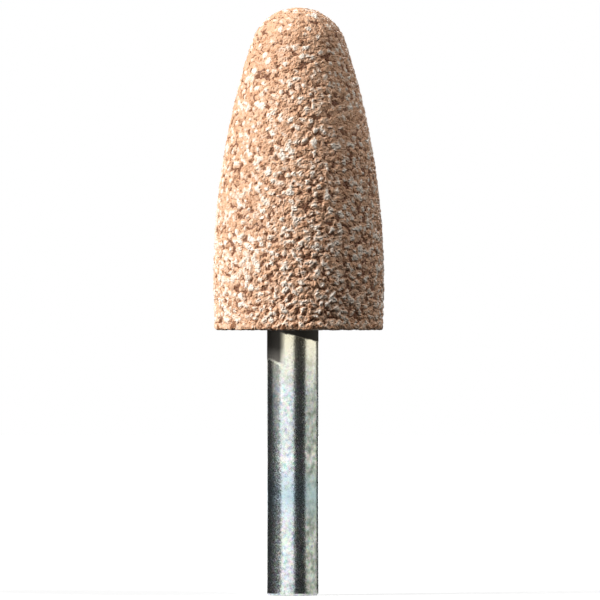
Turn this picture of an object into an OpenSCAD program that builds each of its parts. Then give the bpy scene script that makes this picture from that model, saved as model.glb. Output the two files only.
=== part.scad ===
// Mounted point: a bullet-shaped grinding stone cemented on a plain steel shank.
// It stands upright on the axis of the shank, nose up, and the origin is the centre of the
// shank's lower end. Everything is in millimetres.

/* [Stone] */
// Largest diameter of the stone
stone_d = 10; // [8:0.1:14]
// Length of the stone, from its flat base to the tip of its nose
stone_l = 18.8; // [15:0.1:26]
// Height of the widest girth above the base
girth_h = 2.8; // [1:0.1:4]
// Radius of the rounded nose
nose_r = 2.9; // [2.4:0.1:3.6]
// How far the stone's axis stands off the shank's axis, towards +X
stone_offset = 0.34; // [0:0.02:0.6]

/* [Shank] */
// Diameter of the shank, which the collet grips
shank_d = 3; // [2.3:0.1:4]
// Length of the shank that shows below the stone
shank_l = 15.4; // [12:0.1:34]
// Chamfer on both ends of the shank
shank_chamfer = 0.12; // [0.05:0.01:0.4]

/* [Tang] */
// Length of the shank that is cemented inside the stone
tang_l = 10; // [7:0.1:12]
// Spacing of the rolled grooves that key the tang into the cement
groove_pitch = 1.6; // [0.8:0.1:3]
// Width of a keying groove at the tang's surface
groove_w = 0.6; // [0.3:0.05:0.75]
// Depth of a keying groove
groove_depth = 0.2; // [0.05:0.05:0.4]
// Plain length left between the last groove and the end of the tang
tang_lead = 1; // [0.5:0.1:2]

/* [Cement] */
// Thickness of the cement around the tang
cement_t = 0.2; // [0.1:0.01:0.4]
// Thickness of the cement beyond the end of the tang
cement_end = 0.3; // [0.1:0.05:0.8]

/* [Hidden] */

$fn = 96;
flank_steps = 720;

stone_r = stone_d / 2;
shank_r = shank_d / 2;
hole_r = shank_r + cement_t;
hole_l = tang_l + cement_end;
tang_top = shank_l + tang_l;
groove_n = floor((tang_l - tang_lead - groove_w) / groove_pitch) + 1;

// The flank is one arc. Its centre is level with the girth, and its radius is the one at which
// it meets the nose arc without a corner.
nose_z = stone_l - nose_r;
flank_rise = nose_z - girth_h;
flank_r = (flank_rise ^ 2 + stone_r ^ 2 - nose_r ^ 2) / (2 * (stone_r - nose_r));
flank_x = stone_r - flank_r;

// Angle, seen from the flank's centre, of the line on which the two arcs meet
meet_angle = atan2(flank_rise, -flank_x);
meet_z = girth_h + flank_r * sin(meet_angle);

// Part of the half plane right of the axis, between two heights
module band(z_low, z_high) {
    translate([0, z_low]) square([stone_d, z_high - z_low]);
}

// Half outline of the stone: the flank arc below the meeting line, the nose arc above it
module stone_outline() {
    intersection() {
        translate([flank_x, girth_h]) circle(r = flank_r, $fn = flank_steps);
        band(0, meet_z);
    }
    intersection() {
        translate([0, nose_z]) circle(r = nose_r);
        band(meet_z, stone_l);
    }
}

// Corners of one V-shaped groove, going up the tang's surface from its lower edge
function groove_corners(z) = [
    [shank_r, z],
    [shank_r - groove_depth, z + groove_w / 2],
    [shank_r, z + groove_w]
];

// Half outline of the shank, from its lower end to the end of its tang.
// The first groove starts in the mouth of the stone's hole.
shank_outline = concat(
    [[0, 0], [shank_r - shank_chamfer, 0], [shank_r, shank_chamfer]],
    [for (i = [0 : groove_n - 1]) each groove_corners(shank_l + i * groove_pitch)],
    [[shank_r, tang_top - shank_chamfer], [shank_r - shank_chamfer, tang_top], [0, tang_top]]
);

// Blind hole of the stone, with its mouth in the base
module mounting_hole() {
    translate([0, 0, shank_l]) cylinder(r = hole_r, h = hole_l);
}

// Vitrified aluminium oxide, pressed, fired and bored as one piece
module stone() {
    color([0.82, 0.63, 0.5]) difference() {
        translate([stone_offset, 0, shank_l]) rotate_extrude() stone_outline();
        mounting_hole();
    }
}

// Set cement that fills the hole round the tang and its grooves, flush with the base
module cement() {
    color([0.62, 0.58, 0.53]) difference() {
        mounting_hole();
        rotate_extrude() polygon(shank_outline);
    }
}

// Ground steel rod with a grooved tang
module shank() {
    color([0.7, 0.72, 0.72]) rotate_extrude() polygon(shank_outline);
}

stone();
cement();
shank();
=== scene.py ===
import math

import bpy
import numpy as np
from mathutils.kdtree import KDTree
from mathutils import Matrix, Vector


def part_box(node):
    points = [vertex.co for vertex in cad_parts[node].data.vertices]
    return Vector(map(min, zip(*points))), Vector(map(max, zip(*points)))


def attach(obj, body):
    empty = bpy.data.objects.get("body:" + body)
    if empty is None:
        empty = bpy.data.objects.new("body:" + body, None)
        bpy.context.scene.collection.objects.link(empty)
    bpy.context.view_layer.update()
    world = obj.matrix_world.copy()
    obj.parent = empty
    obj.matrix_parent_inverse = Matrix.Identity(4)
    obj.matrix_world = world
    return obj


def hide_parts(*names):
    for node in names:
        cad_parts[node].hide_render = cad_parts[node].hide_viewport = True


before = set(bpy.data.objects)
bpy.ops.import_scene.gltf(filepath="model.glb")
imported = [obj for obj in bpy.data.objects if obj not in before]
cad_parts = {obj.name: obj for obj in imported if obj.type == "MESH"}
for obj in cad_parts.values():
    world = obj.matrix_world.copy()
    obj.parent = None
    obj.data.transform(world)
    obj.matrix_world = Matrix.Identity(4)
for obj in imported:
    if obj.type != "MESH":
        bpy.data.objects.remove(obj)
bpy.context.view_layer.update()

# Shank: one straight rod of carbon steel, which the collet grips. It is centreless ground and cut
# square with a broken edge, and its upper end is a tang with rolled grooves, cemented in the stone.
# It has dulled and tarnished, the collet has marked it, and painted shadow and warm light lie under
# the stone.
mm = 0.001


def node_box(node):
    """Lowest and highest corners of a solid, to the hundredth of a millimetre it was drawn to."""
    return [np.round(np.array(corner) / mm, 2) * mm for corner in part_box(node)]


shank_low, shank_high = node_box("shank")
stone_low, stone_high = node_box("stone")
shank_radius = round((shank_high[0] - shank_low[0]) / 2 / mm, 2) * mm
foot_z = shank_low[2]
tang_top_z = shank_high[2]
base_z = stone_low[2]
tip_z = stone_high[2]
end_chamfer = 0.12 * mm
edge_in = 0.35 * end_chamfer
edge_up = 0.3 * end_chamfer
groove_pitch = 1.6 * mm
groove_width = 0.6 * mm
groove_depth = 0.2 * mm
groove_count = 6
collet_mark_z = 5.8 * mm
collet_mark_depth = 0.006 * mm
collet_mark_width = 0.25 * mm
rod_sides = 144
rod_step = 0.15 * mm
rod_wave = 0.0025 * mm
sharp_angle = math.radians(25)

# Each ripple of the grinding: waves round the rod, and radians per metre along it.
ripples = [(3, 900), (5, -1700), (2, 2600)]


def rod_outline():
    """Radius and height of each ring of the rod, from its lower end to the end of its tang."""
    rings = [(shank_radius - end_chamfer, foot_z)]
    rings.append((shank_radius - edge_in, foot_z + edge_up))
    rows = int((base_z - end_chamfer - foot_z) / rod_step)
    for z in np.linspace(foot_z + end_chamfer, base_z, rows):
        mark = math.exp(-(((z - collet_mark_z) / collet_mark_width) ** 2))
        rings.append((shank_radius - collet_mark_depth * mark, z))
    for number in range(groove_count):
        foot = base_z + number * groove_pitch
        if number:
            rings.append((shank_radius, foot))
        rings.append((shank_radius - groove_depth, foot + groove_width / 2))
        rings.append((shank_radius, foot + groove_width))
    rings.append((shank_radius, tang_top_z - end_chamfer))
    rings.append((shank_radius - end_chamfer, tang_top_z))
    return rings


def solid_object(name, points, faces, smooth):
    mesh = bpy.data.meshes.new(name)
    mesh.from_pydata(points.tolist(), [], faces)
    mesh.validate()
    if smooth:
        mesh.shade_smooth()
    else:
        mesh.shade_flat()
    piece = bpy.data.objects.new(name, mesh)
    bpy.context.scene.collection.objects.link(piece)
    return piece


outline = rod_outline()
turn = np.arange(rod_sides) * 2 * math.pi / rod_sides
rod_points = [(0, 0, foot_z), (0, 0, tang_top_z)]
for radius, z in outline:
    ripple = sum(np.sin(around * turn + along * z) for around, along in ripples)
    ring = radius - rod_wave * (1 + ripple / len(ripples))
    rod_points += list(zip(ring * np.cos(turn), ring * np.sin(turn), np.full(rod_sides, z)))
rod_faces = []
last_ring = 2 + (len(outline) - 1) * rod_sides
for side in range(rod_sides):
    beside = (side + 1) % rod_sides
    rod_faces.append((0, 2 + beside, 2 + side))
    rod_faces.append((1, last_ring + side, last_ring + beside))
    for row in range(len(outline) - 1):
        below = 2 + row * rod_sides
        above = below + rod_sides
        rod_faces.append((below + side, below + beside, above + beside, above + side))
shank = solid_object("ground_shank", np.array(rod_points), rod_faces, True)
shank.data.set_sharp_from_angle(angle=sharp_angle)


def srgb(red, green, blue):
    channels = []
    for value in (red, green, blue):
        share = value / 255
        channels.append(share / 12.92 if share <= 0.04045 else ((share + 0.055) / 1.055) ** 2.4)
    return (*channels, 1.0)


def shader_node(material, kind, **settings):
    made = material.node_tree.nodes.new(kind)
    for key, value in settings.items():
        setattr(made, key, value)
    return made


def dial(made, values):
    """Sets sockets of a shader node by their names."""
    for name, value in values.items():
        made.inputs[name].default_value = value


def join(material, source, target):
    material.node_tree.links.new(source, target)


def blank_material(name, finish):
    """A new material and its shader, with the shader's first settings."""
    material = bpy.data.materials.new(name)
    material.use_nodes = True
    shader = material.node_tree.nodes["Principled BSDF"]
    dial(shader, finish)
    return material, shader


def noise(material, place, per_metre, detail, roughness=0.5):
    made = shader_node(material, "ShaderNodeTexNoise")
    dial(made, {"Scale": per_metre, "Detail": detail, "Roughness": roughness})
    join(material, place, made.inputs["Vector"])
    return made.outputs


def colour_steps(material, source, steps):
    """A colour for each value of the source, between the places and colours of the steps."""
    ramp = shader_node(material, "ShaderNodeValToRGB")
    ramp.color_ramp.elements.remove(ramp.color_ramp.elements[1])
    for number, (place, colour) in enumerate(steps):
        stop = ramp.color_ramp.elements[0] if number == 0 else ramp.color_ramp.elements.new(place)
        stop.position = place
        stop.color = colour
    join(material, source, ramp.inputs["Fac"])
    return ramp.outputs["Color"]


def overlay(material, under, share, colour):
    """A film of one colour over another, with its share from 0 to 1."""
    film = shader_node(material, "ShaderNodeMix", data_type="RGBA")
    join(material, share, film.inputs["Factor"])
    join(material, under, film.inputs["A"])
    film.inputs["B"].default_value = colour
    return film.outputs["Result"]


def fade(material, value, start, end, least=0.0, most=1.0, **settings):
    """The least where the value is at the start, and the most where it is at the end."""
    ramp = shader_node(material, "ShaderNodeMapRange", **settings)
    dial(ramp, {"From Min": start, "From Max": end, "To Min": least, "To Max": most})
    join(material, value, ramp.inputs["Value"])
    return ramp.outputs["Result"]


def combine(material, operation, first, second):
    made = shader_node(material, "ShaderNodeMath", operation=operation)
    join(material, first, made.inputs[0])
    join(material, second, made.inputs[1])
    return made.outputs["Value"]


def add_scaled(material, value, factor, onto):
    """The value times a factor, added onto another value."""
    made = shader_node(material, "ShaderNodeMath", operation="MULTIPLY_ADD")
    join(material, value, made.inputs[0])
    made.inputs[1].default_value = factor
    join(material, onto, made.inputs[2])
    return made.outputs["Value"]


def fine_relief(material, height, strength, depth):
    made = shader_node(material, "ShaderNodeBump")
    dial(made, {"Strength": strength, "Distance": depth})
    join(material, height, made.inputs["Height"])
    return made


# Sizes of the steel's markings, as counts per metre or as places along and across the shank.
blotches_per_m = 3600
blotch_roughness = 0.7
oxide_per_m = 4600
oxide_share = 0.32
clouds_per_m = 520
cloud_range = (0.45, 1.0)
spots_per_m = 2400
spot_range = (0.6, 0.3)
tarnished_x = (0.3 * mm, 0.9 * mm)
# Painted warm reflection of the stone, along the top of the shank.
painted_warm_reflection_z = (base_z - 3.4 * mm, base_z - 0.6 * mm)
mark_raggedness = -3.0 * mm
mark_reach = (0.2 * mm, -2.2 * mm)
# Painted shadow of the stone: a slanting band right under it, and a patch down its left side.
painted_shadow_slope = 0.25
painted_shadow_raggedness = 0.25 * mm
painted_shadow_z = (base_z - 0.2 * mm, base_z - 0.13 * mm)
painted_left_shadow_x = (-0.42 * mm, -0.78 * mm)
painted_left_shadow_turn_y = (-0.2 * mm, 1.4 * mm)
painted_left_shadow_rise = -1.4 * mm
painted_left_shadow_cloudiness = 0.6 * mm
painted_left_shadow_z = (base_z - 1.76 * mm, base_z - 1.56 * mm)
speckles_per_m = 11000
speckle_range = (0.3, 0.7)
steel_roughness = (0.18, 0.28)
film_roughness = 0.7
rings_per_m = (300, 300, 24000)
ring_strength = 0.12
satin_strength = 0.6
steel_relief = 0.01 * mm
mottled_steel = [(0.32, srgb(170, 184, 186)), (0.5, srgb(226, 233, 233)), (0.68, srgb(250, 249, 246))]
dulled_steel = srgb(150, 158, 156)
tarnished_steel = srgb(132, 142, 134)
# Painted warm reflection of the stone.
painted_warm_reflection = srgb(238, 232, 206)
blued_steel = srgb(178, 208, 222)
# Painted shadow of the stone, under it and on the left.
painted_shadow_grey = srgb(74, 71, 66)
painted_left_shadow_grey = srgb(98, 95, 90)

steel, steel_shader = blank_material("ground_steel", {"Metallic": 1.0})
place = shader_node(steel, "ShaderNodeTexCoord").outputs["Object"]
split = shader_node(steel, "ShaderNodeSeparateXYZ")
join(steel, place, split.inputs["Vector"])
across, deep, up = split.outputs

# The bare steel: mottled, tinted by a thin oxide, and dulled in clouds.
blotches = noise(steel, place, blotches_per_m, detail=4, roughness=blotch_roughness)["Fac"]
oxide = noise(steel, place, oxide_per_m, detail=3)["Color"]
clouds = noise(steel, place, clouds_per_m, detail=2)["Fac"]
tinted = shader_node(steel, "ShaderNodeMix", data_type="RGBA", blend_type="LINEAR_LIGHT")
tinted.inputs["Factor"].default_value = oxide_share
join(steel, colour_steps(steel, blotches, mottled_steel), tinted.inputs["A"])
join(steel, oxide, tinted.inputs["B"])
steel_colour = tinted.outputs["Result"]
steel_colour = overlay(steel, steel_colour, fade(steel, clouds, *cloud_range), dulled_steel)

# Tarnish in spots on the right side, and a painted warm reflection of the stone towards it.
spots = noise(steel, place, spots_per_m, detail=3)["Fac"]
right_side = fade(steel, across, *tarnished_x)
tarnish = combine(steel, "MULTIPLY", right_side, fade(steel, spots, *spot_range))
steel_colour = overlay(steel, steel_colour, tarnish, tarnished_steel)
steel_colour = overlay(steel, steel_colour, fade(steel, up, *painted_warm_reflection_z), painted_warm_reflection)

# The bluish ring where the collet's edge has rubbed.
from_mark = shader_node(steel, "ShaderNodeMath", operation="SUBTRACT")
join(steel, up, from_mark.inputs[0])
from_mark.inputs[1].default_value = collet_mark_z
off_mark = shader_node(steel, "ShaderNodeMath", operation="ABSOLUTE")
join(steel, from_mark.outputs["Value"], off_mark.inputs[0])
ragged_mark = add_scaled(steel, blotches, mark_raggedness, off_mark.outputs["Value"])
steel_colour = overlay(steel, steel_colour, fade(steel, ragged_mark, *mark_reach), blued_steel)

# Painted shadow of the stone on the steel: a band right under it, and a patch that runs down on the
# left.
ragged_z = add_scaled(steel, blotches, painted_shadow_raggedness, add_scaled(steel, across, painted_shadow_slope, up))
painted_shadow = fade(steel, ragged_z, *painted_shadow_z)
steel_colour = overlay(steel, steel_colour, painted_shadow, painted_shadow_grey)
cloudy_z = add_scaled(steel, clouds, painted_left_shadow_cloudiness, ragged_z)
rising_z = add_scaled(steel, fade(steel, deep, *painted_left_shadow_turn_y), painted_left_shadow_rise, cloudy_z)
painted_left_shadow = combine(steel, "MULTIPLY", fade(steel, across, *painted_left_shadow_x), fade(steel, rising_z, *painted_left_shadow_z))
steel_colour = overlay(steel, steel_colour, painted_left_shadow, painted_left_shadow_grey)
join(steel, steel_colour, steel_shader.inputs["Base Color"])

# The finish: speckled satin with fine rings from grinding, and matte where the painted shadows lie.
speckle = noise(steel, place, speckles_per_m, detail=2)["Fac"]
matting = shader_node(steel, "ShaderNodeMix")
join(steel, combine(steel, "MAXIMUM", painted_shadow, painted_left_shadow), matting.inputs["Factor"])
join(steel, fade(steel, speckle, *speckle_range, *steel_roughness), matting.inputs["A"])
matting.inputs["B"].default_value = film_roughness
join(steel, matting.outputs["Result"], steel_shader.inputs["Roughness"])
squeeze = shader_node(steel, "ShaderNodeMapping")
squeeze.inputs["Scale"].default_value = rings_per_m
join(steel, place, squeeze.inputs["Vector"])
grinding = noise(steel, squeeze.outputs["Vector"], per_metre=1, detail=2)["Fac"]
rings = fine_relief(steel, grinding, ring_strength, steel_relief)
satin = fine_relief(steel, speckle, satin_strength, steel_relief)
join(steel, rings.outputs["Normal"], satin.inputs["Normal"])
join(steel, satin.outputs["Normal"], steel_shader.inputs["Normal"])
shank.data.materials.append(steel)
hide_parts("shank")
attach(shank, "root")

# Cement: a thin sleeve of grey setting cement, poured into the stone's hole before the tang goes
# in. It fills the grooves, and only its ring at the mouth of the hole shows.
grit_per_m = 12000
grit_strength = 0.5
grit_relief = 0.03 * mm
cement_greys = [(0.3, srgb(104, 97, 88)), (0.55, srgb(146, 138, 126)), (0.7, srgb(172, 164, 150))]

cement, cement_shader = blank_material("set_cement", {"Roughness": 0.9})
place = shader_node(cement, "ShaderNodeTexCoord").outputs["Object"]
grit = noise(cement, place, grit_per_m, detail=4)["Fac"]
join(cement, colour_steps(cement, grit, cement_greys), cement_shader.inputs["Base Color"])
pitting = fine_relief(cement, grit, grit_strength, grit_relief)
join(cement, pitting.outputs["Normal"], cement_shader.inputs["Normal"])
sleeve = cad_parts["cement"]
sleeve.data.materials.clear()
sleeve.data.materials.append(cement)

# Stone: grains of fused aluminium oxide in a glassy bond, pressed to a bullet shape, fired as one
# piece, dressed true and cemented on the tang. Tan and white grains stand at one level with pores
# between them, whiter and deeper towards the base, and browner towards the rim of the flat base.
stone_x = round((stone_low[0] + stone_high[0]) / 2 / mm, 2) * mm
girth_radius = round((stone_high[0] - stone_low[0]) / 2 / mm, 2) * mm
girth_z = base_z + 2.8 * mm
nose_radius = 2.9 * mm
nose_z = tip_z - nose_radius
rim_radius = 0.1 * mm
cement_low, cement_high = node_box("cement")
hole_radius = round((cement_high[0] - cement_low[0]) / 2 / mm, 2) * mm
hole_depth = round((cement_high[2] - cement_low[2]) / mm, 2) * mm
flank_edge = 0.08 * mm
base_edge = 0.11 * mm
fewest_points = 6
loose_share = 0.22
grain_seed = 11

flank_rise = nose_z - girth_z
flank_radius = (flank_rise**2 + girth_radius**2 - nose_radius**2) / (2 * (girth_radius - nose_radius))
flank_centre = girth_radius - flank_radius
meet_angle = math.atan2(flank_rise, -flank_centre)
rim_angle = -math.asin((girth_z - base_z - rim_radius) / (flank_radius - rim_radius))
rim_centre = flank_centre + (flank_radius - rim_radius) * math.cos(rim_angle)
nose_run = nose_radius * (math.pi / 2 - meet_angle)
flank_run = flank_radius * (meet_angle - rim_angle)
rim_run = rim_radius * (rim_angle + math.pi / 2)
base_run = rim_centre - hole_radius
total_run = nose_run + flank_run + rim_run + base_run
base_start = total_run - base_run


def stone_outline(run):
    """Radius, height and tilt of the surface at a distance from the tip, along the outline."""
    nose = math.pi / 2 - run / nose_radius
    flank = meet_angle - (run - nose_run) / flank_radius
    rim = rim_angle - (run - nose_run - flank_run) / rim_radius
    inward = np.clip(run - nose_run - flank_run - rim_run, 0, base_run)
    parts = [run < nose_run, run < nose_run + flank_run, run < nose_run + flank_run + rim_run]
    radius = np.select(
        parts,
        [
            nose_radius * np.cos(nose),
            flank_centre + flank_radius * np.cos(flank),
            rim_centre + rim_radius * np.cos(rim),
        ],
        rim_centre - inward,
    )
    height = np.select(
        parts,
        [
            nose_z + nose_radius * np.sin(nose),
            girth_z + flank_radius * np.sin(flank),
            base_z + rim_radius + rim_radius * np.sin(rim),
        ],
        base_z,
    )
    tilt = np.select(parts, [nose, flank, rim], -math.pi / 2)
    return radius, height, tilt, inward / base_run


# The net of points: rings from the tip to the mouth of the hole, with points strayed a little.
chance = np.random.default_rng(grain_seed)
row_height = math.sqrt(3) / 2
flank_rows = round(base_start / (flank_edge * row_height))
base_rows = round(base_run / (base_edge * row_height))
runs = list(np.linspace(0, base_start, flank_rows + 1))
runs += list(np.linspace(base_start, total_run, base_rows + 1)[1:])

ring_starts = []
ring_counts = []
ring_turns = []
vertex_run = []
vertex_angle = []
for run in runs:
    radius = float(stone_outline(np.array(run))[0])
    edge = flank_edge if run < base_start else base_edge
    count = 1 if run == 0 else max(fewest_points, round(2 * math.pi * radius / edge))
    turn = chance.random()
    angles = (np.arange(count) + turn) * 2 * math.pi / count
    on_flank = 0 < run < base_start - rim_run
    on_base = base_start < run < total_run
    loose = loose_share if on_flank or on_base else 0
    ring_starts.append(len(vertex_run))
    ring_counts.append(count)
    ring_turns.append(turn)
    vertex_run += list(run + loose * edge * chance.uniform(-1, 1, count))
    vertex_angle += list(angles + loose * chance.uniform(-1, 1, count) * 2 * math.pi / count)


def zip_rings(upper, lower):
    """Triangles between two neighbouring rings, which may have different numbers of points."""
    faces = []
    a = b = 0
    a_count = ring_counts[upper]
    b_count = ring_counts[lower]
    while a < a_count or b < b_count:
        a_here = ring_starts[upper] + a % a_count
        b_here = ring_starts[lower] + b % b_count
        a_next = (a + 1 + ring_turns[upper]) / a_count
        b_next = (b + 1 + ring_turns[lower]) / b_count
        if a_count > 1 and (b == b_count or (a < a_count and a_next <= b_next)):
            faces.append((ring_starts[upper] + (a + 1) % a_count, a_here, b_here))
            a += 1
        elif b < b_count:
            faces.append((ring_starts[lower] + (b + 1) % b_count, a_here, b_here))
            b += 1
        else:
            a += 1
    return faces


stone_faces = []
for number in range(len(runs) - 1):
    stone_faces += zip_rings(number, number + 1)

vertex_run = np.abs(np.array(vertex_run))
vertex_angle = np.array(vertex_angle)
radius, height, tilt, inward = stone_outline(vertex_run)
surface = np.column_stack(
    [
        stone_x * (1 - inward) + radius * np.cos(vertex_angle),
        radius * np.sin(vertex_angle),
        height,
    ]
)
outward = np.column_stack(
    [np.cos(tilt) * np.cos(vertex_angle), np.cos(tilt) * np.sin(vertex_angle), np.sin(tilt)]
)
low_down = 1 - (surface[:, 2] - base_z) / (tip_z - base_z)

# The grains are random blocks of flat sides, seated a little below the dressed surface, and what
# the blocks leave open is pore. Some grains have broken out.
grain_gap = 0.27 * mm
gap_range = (0.8, 1.2)
grain_range = (0.64, 0.9)
side_range = (0.5, 1.0)
grain_sides = 9
nearest_grains = 12
trim = 1.25
grain_sink = 0.06 * mm
lost_share = 0.04
pore_depth = 0.22 * mm
smoothing = 0.2
tip_relief = 0.34
relief_gain = 0.28
relief_curve = 3
chip_depth = 0.06 * mm
far_below = -1.0
tiny = 1e-6

tree = KDTree(len(surface))
for number, point in enumerate(surface):
    tree.insert(point, number)
tree.balance()
free = np.ones(len(surface), bool)
seats = []
gaps = []
for number in chance.permutation(len(surface)):
    if free[number]:
        seats.append(number)
        gaps.append(grain_gap * chance.uniform(*gap_range))
        for _, near, _ in tree.find_range(surface[number], gaps[-1]):
            free[near] = False
seats = np.array(seats)
grain_count = len(seats)
grain_radius = np.array(gaps) * chance.uniform(*grain_range, grain_count)
grain_depth = grain_radius + grain_sink * chance.uniform(0, 1, grain_count)
grain_depth += pore_depth * (chance.random(grain_count) < lost_share)
grain_centre = surface[seats] - outward[seats] * grain_depth[:, None]
side_normal = chance.normal(size=(grain_count, grain_sides, 3))
side_normal /= np.linalg.norm(side_normal, axis=2, keepdims=True)
side_reach = grain_radius[:, None] * chance.uniform(*side_range, (grain_count, grain_sides))

grain_tree = KDTree(grain_count)
for number, point in enumerate(surface[seats]):
    grain_tree.insert(point, number)
grain_tree.balance()
near_grains = []
for point in surface:
    near_grains.append([hit[1] for hit in grain_tree.find_n(point, nearest_grains)])
near_grains = np.array(near_grains)
level = np.full(len(surface), far_below)
owner = near_grains[:, 0].copy()
for column in range(nearest_grains):
    which = near_grains[:, column]
    away = surface - grain_centre[which]
    facing = np.einsum("vsk,vk->vs", side_normal[which], outward)
    to_side = side_reach[which] - np.einsum("vsk,vk->vs", side_normal[which], away)
    reach = to_side / np.where(np.abs(facing) < tiny, tiny, facing)
    top = np.min(np.where(facing > 0, reach, np.inf), axis=1)
    along = np.einsum("vk,vk->v", away, outward)
    dome = (trim * grain_radius[which]) ** 2 + along**2 - np.einsum("vk,vk->v", away, away)
    top = np.where(dome > 0, np.minimum(top, np.sqrt(np.maximum(dome, 0)) - along), -np.inf)
    bottom = np.max(np.where(facing < 0, reach, -np.inf), axis=1)
    higher = (top >= bottom) & (top > level)
    level = np.where(higher, top, level)
    owner = np.where(higher, which, owner)
pore = np.clip(-level / pore_depth, 0, 1)
level = np.clip(level, -pore_depth, 0)

edges = np.array(stone_faces)
edges = np.concatenate([edges[:, [0, 1]], edges[:, [1, 2]], edges[:, [2, 0]]])
links = np.bincount(edges.ravel(), minlength=len(surface))


def soften(values, share):
    """Moves each point's value a share of the way to the mean of its neighbours."""
    total = np.bincount(edges[:, 0], values[edges[:, 1]], len(values))
    total += np.bincount(edges[:, 1], values[edges[:, 0]], len(values))
    return values * (1 - share) + share * total / links


level = soften(level, smoothing) * (tip_relief + relief_gain * low_down**relief_curve)
level -= chip_depth * chance.random(len(level)) ** 2
stone_points = surface + outward * level[:, None]

# The blind hole: straight up from the last ring, which stays as it was drawn, and closed on top.
mouth = ring_starts[-1]
mouth_count = ring_counts[-1]
hole_top = len(stone_points)
mouth_points = surface[mouth:]
stone_points[mouth:] = mouth_points
lid = mouth_points + np.array([0, 0, hole_depth])
stone_points = np.concatenate([stone_points, lid, [[0, 0, base_z + hole_depth]]])
for side in range(mouth_count):
    beside = (side + 1) % mouth_count
    stone_faces.append((mouth + beside, mouth + side, hole_top + side))
    stone_faces.append((mouth + beside, hole_top + side, hole_top + beside))
    stone_faces.append((hole_top + beside, hole_top + side, hole_top + mouth_count))
stone = solid_object("grinding_stone", stone_points, stone_faces, False)

# Each grain has one tone, tan or pale, which its facets vary.
pale_at_tip = 0.36
pale_gain = 0.5
pale_curve = 1.5
pale_tone = 0.95
tan_tone = 0.22
tone_spread = 0.1
rim_band = 0.8 * mm
rim_browning = 0.9
facets_per_m = 5500
facet_gain = 0.7
facet_shift = -0.3
crystals_per_m = 9000
crystal_strength = 0.5
crystal_relief = 0.03 * mm
# Hollows: the bond's tan, partly its own colour and partly painted shade, then painted dark shade in
# the deepest pores.
bond_and_shade_range = (0.15, 0.6)
bond_and_shade_share = 0.9
pit_shade_range = (0.85, 1.0)
grain_colours = [
    (0.0, srgb(146, 102, 73)),
    (0.25, srgb(214, 168, 133)),
    (0.5, srgb(227, 190, 160)),
    (0.7, srgb(234, 210, 188)),
    (0.85, srgb(237, 218, 200)),
    (1.0, srgb(242, 229, 214)),
]
# The bond's tan with painted shade in it, and the painted shade of the deepest pores.
bond_and_shade_tan = srgb(216, 171, 137)
pit_shade_brown = srgb(125, 84, 60)

pale_share = pale_at_tip + pale_gain * low_down[seats] ** pale_curve
pale = chance.random(grain_count) < pale_share
grain_tone = np.where(pale, pale_tone, tan_tone) + tone_spread * chance.normal(size=grain_count)


def paint_points(piece, name, values):
    held = piece.data.attributes.new(name, "FLOAT", "POINT")
    filled = np.zeros(len(piece.data.vertices), np.float32)
    filled[: len(values)] = values
    held.data.foreach_set("value", filled)


rim = np.clip(1 - np.abs(vertex_run - base_start) / rim_band, 0, 1)
paint_points(stone, "grain_tone", grain_tone[owner] - rim_browning * rim)
paint_points(stone, "pore", pore)

alumina_finish = {"Roughness": 0.5, "Specular IOR Level": 0.2}
abrasive, abrasive_shader = blank_material("fused_alumina", alumina_finish)
place = shader_node(abrasive, "ShaderNodeTexCoord").outputs["Object"]
tone = shader_node(abrasive, "ShaderNodeAttribute", attribute_name="grain_tone").outputs["Fac"]
hollow = shader_node(abrasive, "ShaderNodeAttribute", attribute_name="pore").outputs["Fac"]
facets = shader_node(abrasive, "ShaderNodeTexVoronoi")
facets.inputs["Scale"].default_value = facets_per_m
join(abrasive, place, facets.inputs["Vector"])
mottled = shader_node(abrasive, "ShaderNodeMath", operation="MULTIPLY_ADD")
join(abrasive, facets.outputs["Color"], mottled.inputs[0])
mottled.inputs[1].default_value = facet_gain
mottled.inputs[2].default_value = facet_shift
mixed_tone = combine(abrasive, "ADD", tone, mottled.outputs["Value"])
stone_colour = colour_steps(abrasive, mixed_tone, grain_colours)
# The hollows take the bond's tan, partly its own colour and partly painted shade, and the deepest
# pores a painted dark shade.
bond_and_shade = fade(abrasive, hollow, *bond_and_shade_range, most=bond_and_shade_share, interpolation_type="SMOOTHSTEP")
stone_colour = overlay(abrasive, stone_colour, bond_and_shade, bond_and_shade_tan)
pit_shade = fade(abrasive, hollow, *pit_shade_range, interpolation_type="SMOOTHSTEP")
stone_colour = overlay(abrasive, stone_colour, pit_shade, pit_shade_brown)
join(abrasive, stone_colour, abrasive_shader.inputs["Base Color"])
crystal = noise(abrasive, place, crystals_per_m, detail=3)["Fac"]
chipping = fine_relief(abrasive, crystal, crystal_strength, crystal_relief)
join(abrasive, chipping.outputs["Normal"], abrasive_shader.inputs["Normal"])
stone.data.materials.append(abrasive)
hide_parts("stone")
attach(stone, "root")

# Table: a plain white sheet that the end of the shank stands on. It keeps the shadow near the
# shank and pales to plain white farther out, and it throws little light back on the object.
sheet_half = 0.7
sheet_shown = 0.32
sheet_bounce = 0.03
near_lift = 0.6
far_lift = 1.0
shadow_reach = 60 * mm
plain_from = 260 * mm
white = (1, 1, 1, 1)
matte = {"Roughness": 1.0, "Specular IOR Level": 0.0}


def seen_directly(surround):
    """1 for rays from the camera, the steel or a clear body, 0 for the light that falls on things."""
    path = shader_node(surround, "ShaderNodeLightPath").outputs
    direct = path["Is Camera Ray"]
    for name in ("Is Glossy Ray", "Is Transmission Ray"):
        direct = combine(surround, "MAXIMUM", direct, path[name])
    return direct


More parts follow.
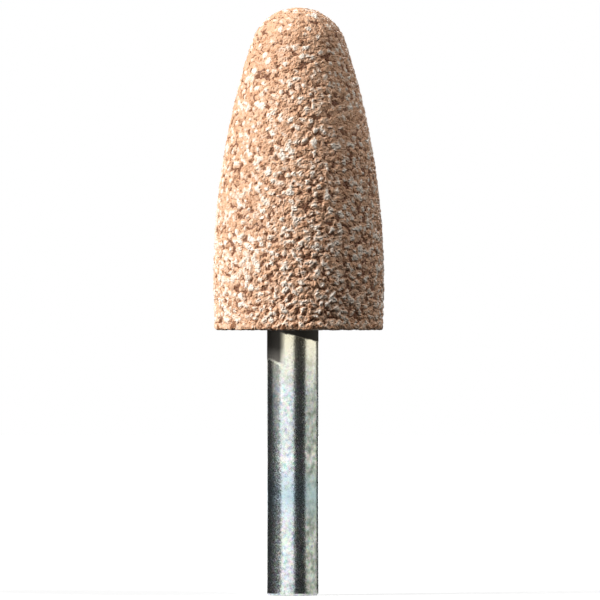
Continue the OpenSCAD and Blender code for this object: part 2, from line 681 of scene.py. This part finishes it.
sheet_corners = [
    (-sheet_half, -sheet_half, 0),
    (sheet_half, -sheet_half, 0),
    (sheet_half, sheet_half, 0),
    (-sheet_half, sheet_half, 0),
]
floor = solid_object("white_table", np.array(sheet_corners), [(0, 1, 2, 3)], False)
white_sheet, sheet_shader = blank_material("white_sheet", {**matte, "Emission Color": white})
place = shader_node(white_sheet, "ShaderNodeTexCoord").outputs["Object"]
shown_directly = seen_directly(white_sheet)
sheet_colour = shader_node(white_sheet, "ShaderNodeMix", data_type="RGBA")
join(white_sheet, shown_directly, sheet_colour.inputs["Factor"])
sheet_colour.inputs["A"].default_value = (sheet_bounce, sheet_bounce, sheet_bounce, 1)
sheet_colour.inputs["B"].default_value = (sheet_shown, sheet_shown, sheet_shown, 1)
join(white_sheet, sheet_colour.outputs["Result"], sheet_shader.inputs["Base Color"])
from_foot = shader_node(white_sheet, "ShaderNodeVectorMath", operation="LENGTH")
join(white_sheet, place, from_foot.inputs[0])
paling = fade(
    white_sheet,
    from_foot.outputs["Value"],
    shadow_reach,
    plain_from,
    near_lift,
    far_lift,
    interpolation_type="SMOOTHSTEP",
)
lift = combine(white_sheet, "MULTIPLY", shown_directly, paling)
join(white_sheet, lift, sheet_shader.inputs["Emission Strength"])
floor.data.materials.append(white_sheet)

# Room: an even white surround. It shows as plain white to the camera and in the steel, and gives
# almost no light of its own.
room_shown = 1.0
room_light = 0.01
room = bpy.data.worlds.new("white_room")
room.use_nodes = True
bpy.context.scene.world = room
dim = room.node_tree.nodes["Background"]
dial(dim, {"Color": white, "Strength": room_light})
shown = shader_node(room, "ShaderNodeBackground")
dial(shown, {"Color": white, "Strength": room_shown})
either = shader_node(room, "ShaderNodeMixShader")
join(room, seen_directly(room), either.inputs["Fac"])
join(room, dim.outputs["Background"], either.inputs[1])
join(room, shown.outputs["Background"], either.inputs[2])
join(room, either.outputs["Shader"], room.node_tree.nodes["World Output"].inputs["Surface"])

# Lamps: a broad softbox on the left gives the stone its lit side, a small steep lamp on the upper
# right draws the grain in the shade, and a broad one behind lights the back.
lamp_distance = 1.6
target = np.array([stone_x, 0, (base_z + tip_z) / 2])


def towards(azimuth, elevation):
    """Direction from the object to a place round it: azimuth 0 is the camera, and minus is left."""
    level_part = math.cos(elevation)
    sideways = math.sin(azimuth) * level_part
    backwards = -math.cos(azimuth) * level_part
    return np.array([sideways, backwards, math.sin(elevation)])


def hang_softbox(name, azimuth, elevation, width, height, level):
    """A lamp that gives a surface square to it the stated share of full white."""
    azimuth = math.radians(azimuth)
    elevation = math.radians(elevation)
    lamp = bpy.data.lights.new(name, "AREA")
    lamp.shape = "RECTANGLE"
    lamp.size = width
    lamp.size_y = height
    lamp.energy = level * math.pi**2 * lamp_distance**2
    softbox = bpy.data.objects.new(name, lamp)
    bpy.context.scene.collection.objects.link(softbox)
    softbox.location = target + towards(azimuth, elevation) * lamp_distance
    softbox.rotation_euler = (math.pi / 2 - elevation, 0, azimuth)


hang_softbox("key_softbox", azimuth=-69, elevation=27, width=0.55, height=0.5, level=1.8)
hang_softbox("top_softbox", azimuth=64, elevation=60, width=0.1, height=0.1, level=0.48)
hang_softbox("back_softbox", azimuth=165, elevation=25, width=0.7, height=0.5, level=0.75)

# Flags and cards: sheets of black and grey card on the table round the shank, out of sight, which
# the steel mirrors as dark and pale bands. Tall flags curve up far out, and low cards stand close.
card_foot = 1.6 * mm
card_lie = 0.03 * mm
card_bend = 1 * mm
card_columns = 17
grey_card_foot = 15.5 * mm
warm_grey = (1.0, 1.0, 0.88)
tall_card = [
    (card_foot, card_lie),
    (120 * mm, card_lie),
    (150 * mm, 10 * mm),
    (165 * mm, 40 * mm),
    (170 * mm, 160 * mm),
]


def low_card(foot, reach, top):
    """Outline of a card that lies flat from its foot and then stands upright."""
    return [(foot, card_lie), (reach - card_bend, card_lie), (reach, card_bend), (reach, top)]


left_low_outline = low_card(card_foot, 15 * mm, 10.8 * mm)
left_grey_outline = low_card(grey_card_foot, 17 * mm, 24 * mm)
right_low_outline = low_card(card_foot, 15 * mm, 12.8 * mm)


def bent_card(name, profile, first, last, brightness, tint=(1, 1, 1), slant=0):
    """A card between two azimuths, whose top edge may slant down towards the second."""
    points = []
    for row, (reach, z) in enumerate(profile):
        drop = slant if row == len(profile) - 1 else 0
        for share in np.linspace(0, 1, card_columns):
            bearing = math.radians(first + share * (last - first))
            points.append((reach * math.sin(bearing), -reach * math.cos(bearing), z - drop * share))
    faces = []
    for row in range(len(profile) - 1):
        for column in range(card_columns - 1):
            corner = row * card_columns + column
            above = corner + card_columns
            faces.append((corner, corner + 1, above + 1, above))
    card = solid_object(name, np.array(points), faces, True)
    glow = {"Base Color": (0, 0, 0, 1), "Emission Color": (*tint, 1), "Emission Strength": brightness}
    paper, _ = blank_material(name, {**matte, **glow})
    card.data.materials.append(paper)
    card.visible_camera = False
    card.visible_diffuse = False
    card.visible_shadow = False


bent_card("left_flag", tall_card, first=-157, last=-98, brightness=0.02)
bent_card("left_low_flag", left_low_outline, first=-98, last=-50, brightness=0.004, slant=4 * mm)
bent_card("left_grey_card", left_grey_outline, first=-98, last=-56, brightness=0.27)
bent_card("right_flag", tall_card, first=4.5, last=60, brightness=0.036)
bent_card("right_low_card", right_low_outline, first=60, last=128, brightness=0.76, tint=warm_grey)
bent_card("back_flag", tall_card, first=128, last=157, brightness=0.02)

# Camera: a long lens, level with the middle of the point and square to it, framed as in the
# photograph by the shank's axis and its lower end.
photo_side = 600
pixels_per_mm = 17.2
axis_pixel = 292.8
foot_pixel = 595.2
camera_distance = 0.6
sensor_side = 36
camera = bpy.data.cameras.new("long_lens")
camera.sensor_width = sensor_side
camera.lens = sensor_side * camera_distance / (photo_side / pixels_per_mm * mm)
viewer = bpy.data.objects.new("long_lens", camera)
bpy.context.scene.collection.objects.link(viewer)
viewer.location = (
    (photo_side / 2 - axis_pixel) / pixels_per_mm * mm,
    -camera_distance,
    (foot_pixel - photo_side / 2) / pixels_per_mm * mm,
)
viewer.rotation_euler = (math.pi / 2, 0, 0)
bpy.context.scene.camera = viewer
bpy.context.scene.view_settings.view_transform = "Standard"
